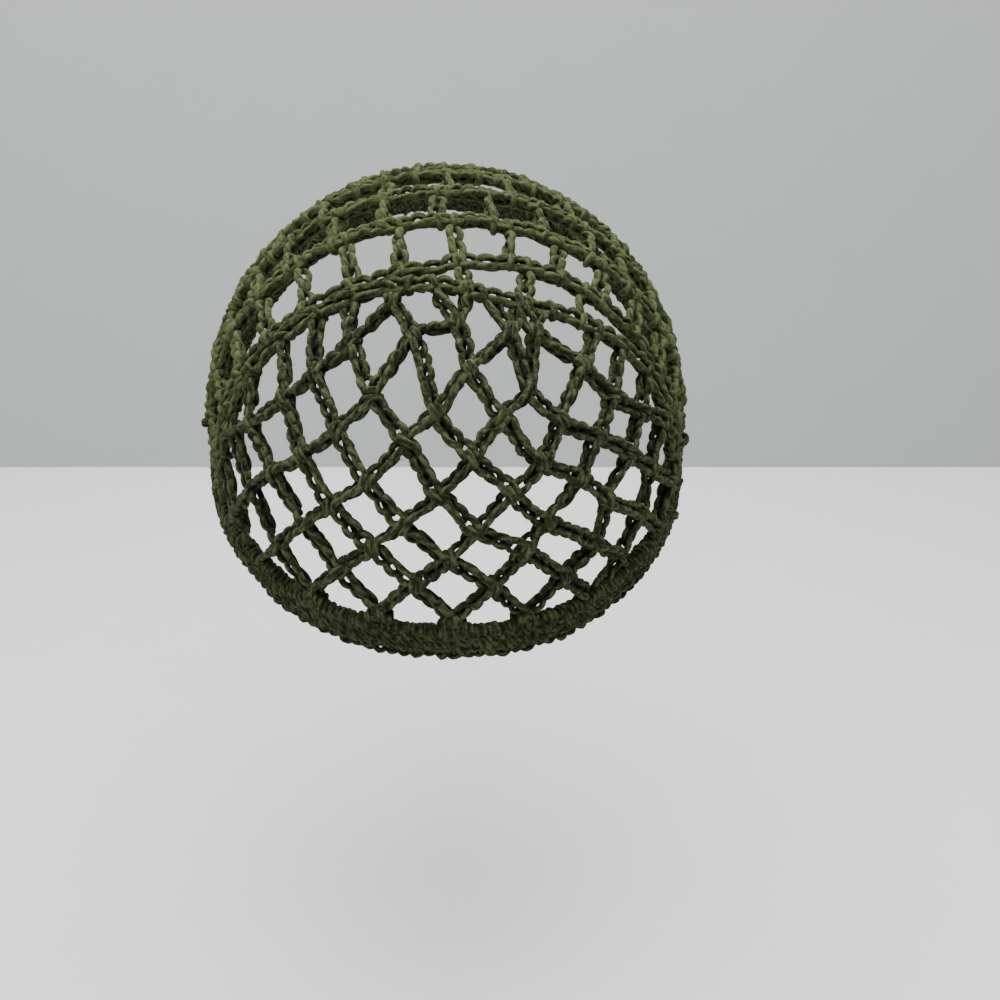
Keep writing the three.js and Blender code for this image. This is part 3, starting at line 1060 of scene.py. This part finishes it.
fuzz("crown_fuzz", row_runs + join_runs + bar_runs, NET_FIBRES, "crown_mesh", crown_cotton_painted_light)
fuzz("net_fuzz", strand_runs + knot_runs + comb_runs, NET_FIBRES, "back_net", net_cotton_painted_shade)
fuzz("hem_fuzz", hem_runs, HEM_FIBRES, "hem_band", hem_cotton_painted_shade)

# %% [markdown]
# ## The room
# A plain pale floor lies below and a pale backdrop stands behind. The light is broad and
# comes from above, as from a ceiling, so the yarn is light on top and dark inside the net.

# %% Floor and backdrop
FLOOR_HEIGHT = -0.2715
BACKDROP_AT = -0.464
BACKDROP_TOP = 2.5
ROOM_REACH = 3
FLOOR_COLOUR = (0.72, 0.73, 0.73)
BACKDROP_COLOUR = (0.40, 0.41, 0.41)
SHEET_GRAIN = (30, 4.0)
SHEET_DARKEST = 0.96
SHEET_ROUGHNESS = 0.6


def plain_sheet(name, corners, colour):
    mesh = bpy.data.meshes.new(name)
    mesh.from_pydata(corners, [], [(0, 1, 2, 3)])
    finish = bpy.data.materials.new(name)
    finish.use_nodes = True
    tree = finish.node_tree
    shader = tree.nodes["Principled BSDF"]
    place = node(tree, "ShaderNodeTexCoord")
    grain = noise(tree, place.outputs["Object"], *SHEET_GRAIN)
    ramp = node(tree, "ShaderNodeValToRGB")
    ramp.color_ramp.elements[0].color = (*(SHEET_DARKEST * shade for shade in colour), 1)
    ramp.color_ramp.elements[1].color = (*colour, 1)
    tree.links.new(grain, ramp.inputs["Fac"])
    tree.links.new(ramp.outputs["Color"], shader.inputs["Base Color"])
    set_inputs(shader, {"Roughness": SHEET_ROUGHNESS})
    mesh.materials.append(finish)
    sheet = bpy.data.objects.new(name, mesh)
    bpy.context.scene.collection.objects.link(sheet)


back_left = (-ROOM_REACH, BACKDROP_AT, FLOOR_HEIGHT)
back_right = (ROOM_REACH, BACKDROP_AT, FLOOR_HEIGHT)
front_right = (ROOM_REACH, ROOM_REACH, FLOOR_HEIGHT)
front_left = (-ROOM_REACH, ROOM_REACH, FLOOR_HEIGHT)
top_left = (-ROOM_REACH, BACKDROP_AT, BACKDROP_TOP)
top_right = (ROOM_REACH, BACKDROP_AT, BACKDROP_TOP)
plain_sheet("floor", [back_left, back_right, front_right, front_left], FLOOR_COLOUR)
plain_sheet("backdrop", [back_left, top_left, top_right, back_right], BACKDROP_COLOUR)
print("floor at", FLOOR_HEIGHT, "m, backdrop at", BACKDROP_AT, "m")

# %% Camera: lens and sensor in mm, turn in degrees
CAMERA_LENS = 39.6
CAMERA_SENSOR = 36
CAMERA_PLACE = (-0.0179, 0.3700, 0.0369)
CAMERA_TURN = (68, 0, 180)
camera = bpy.data.objects.new("camera", bpy.data.cameras.new("camera"))
camera.data.lens = CAMERA_LENS
camera.data.sensor_width = CAMERA_SENSOR
camera.location = CAMERA_PLACE
camera.rotation_euler = [math.radians(angle) for angle in CAMERA_TURN]
bpy.context.scene.collection.objects.link(camera)
bpy.context.scene.camera = camera
print("camera at", CAMERA_PLACE)

# %% Light: name, place, turn in degrees, size and power
LIGHTS = [
    ("ceiling", (0.0, 0.1, 0.95), (0, 0, 0), 1.2, 36),
    ("window", (0.9, 0.7, 0.6), (0, 55, 38), 1.0, 6),
]
WORLD_LIGHT = {"Color": (1.0, 1.0, 0.98, 1), "Strength": 0.32}
for name, place, turn, size, power in LIGHTS:
    lamp = bpy.data.objects.new(name, bpy.data.lights.new(name, "AREA"))
    lamp.data.size = size
    lamp.data.energy = power
    lamp.location = place
    lamp.rotation_euler = [math.radians(angle) for angle in turn]
    bpy.context.scene.collection.objects.link(lamp)
world = bpy.data.worlds.new("room")
bpy.context.scene.world = world
world.use_nodes = True
set_inputs(world.node_tree.nodes["Background"], WORLD_LIGHT)
print("lights:", [light[0] for light in LIGHTS])
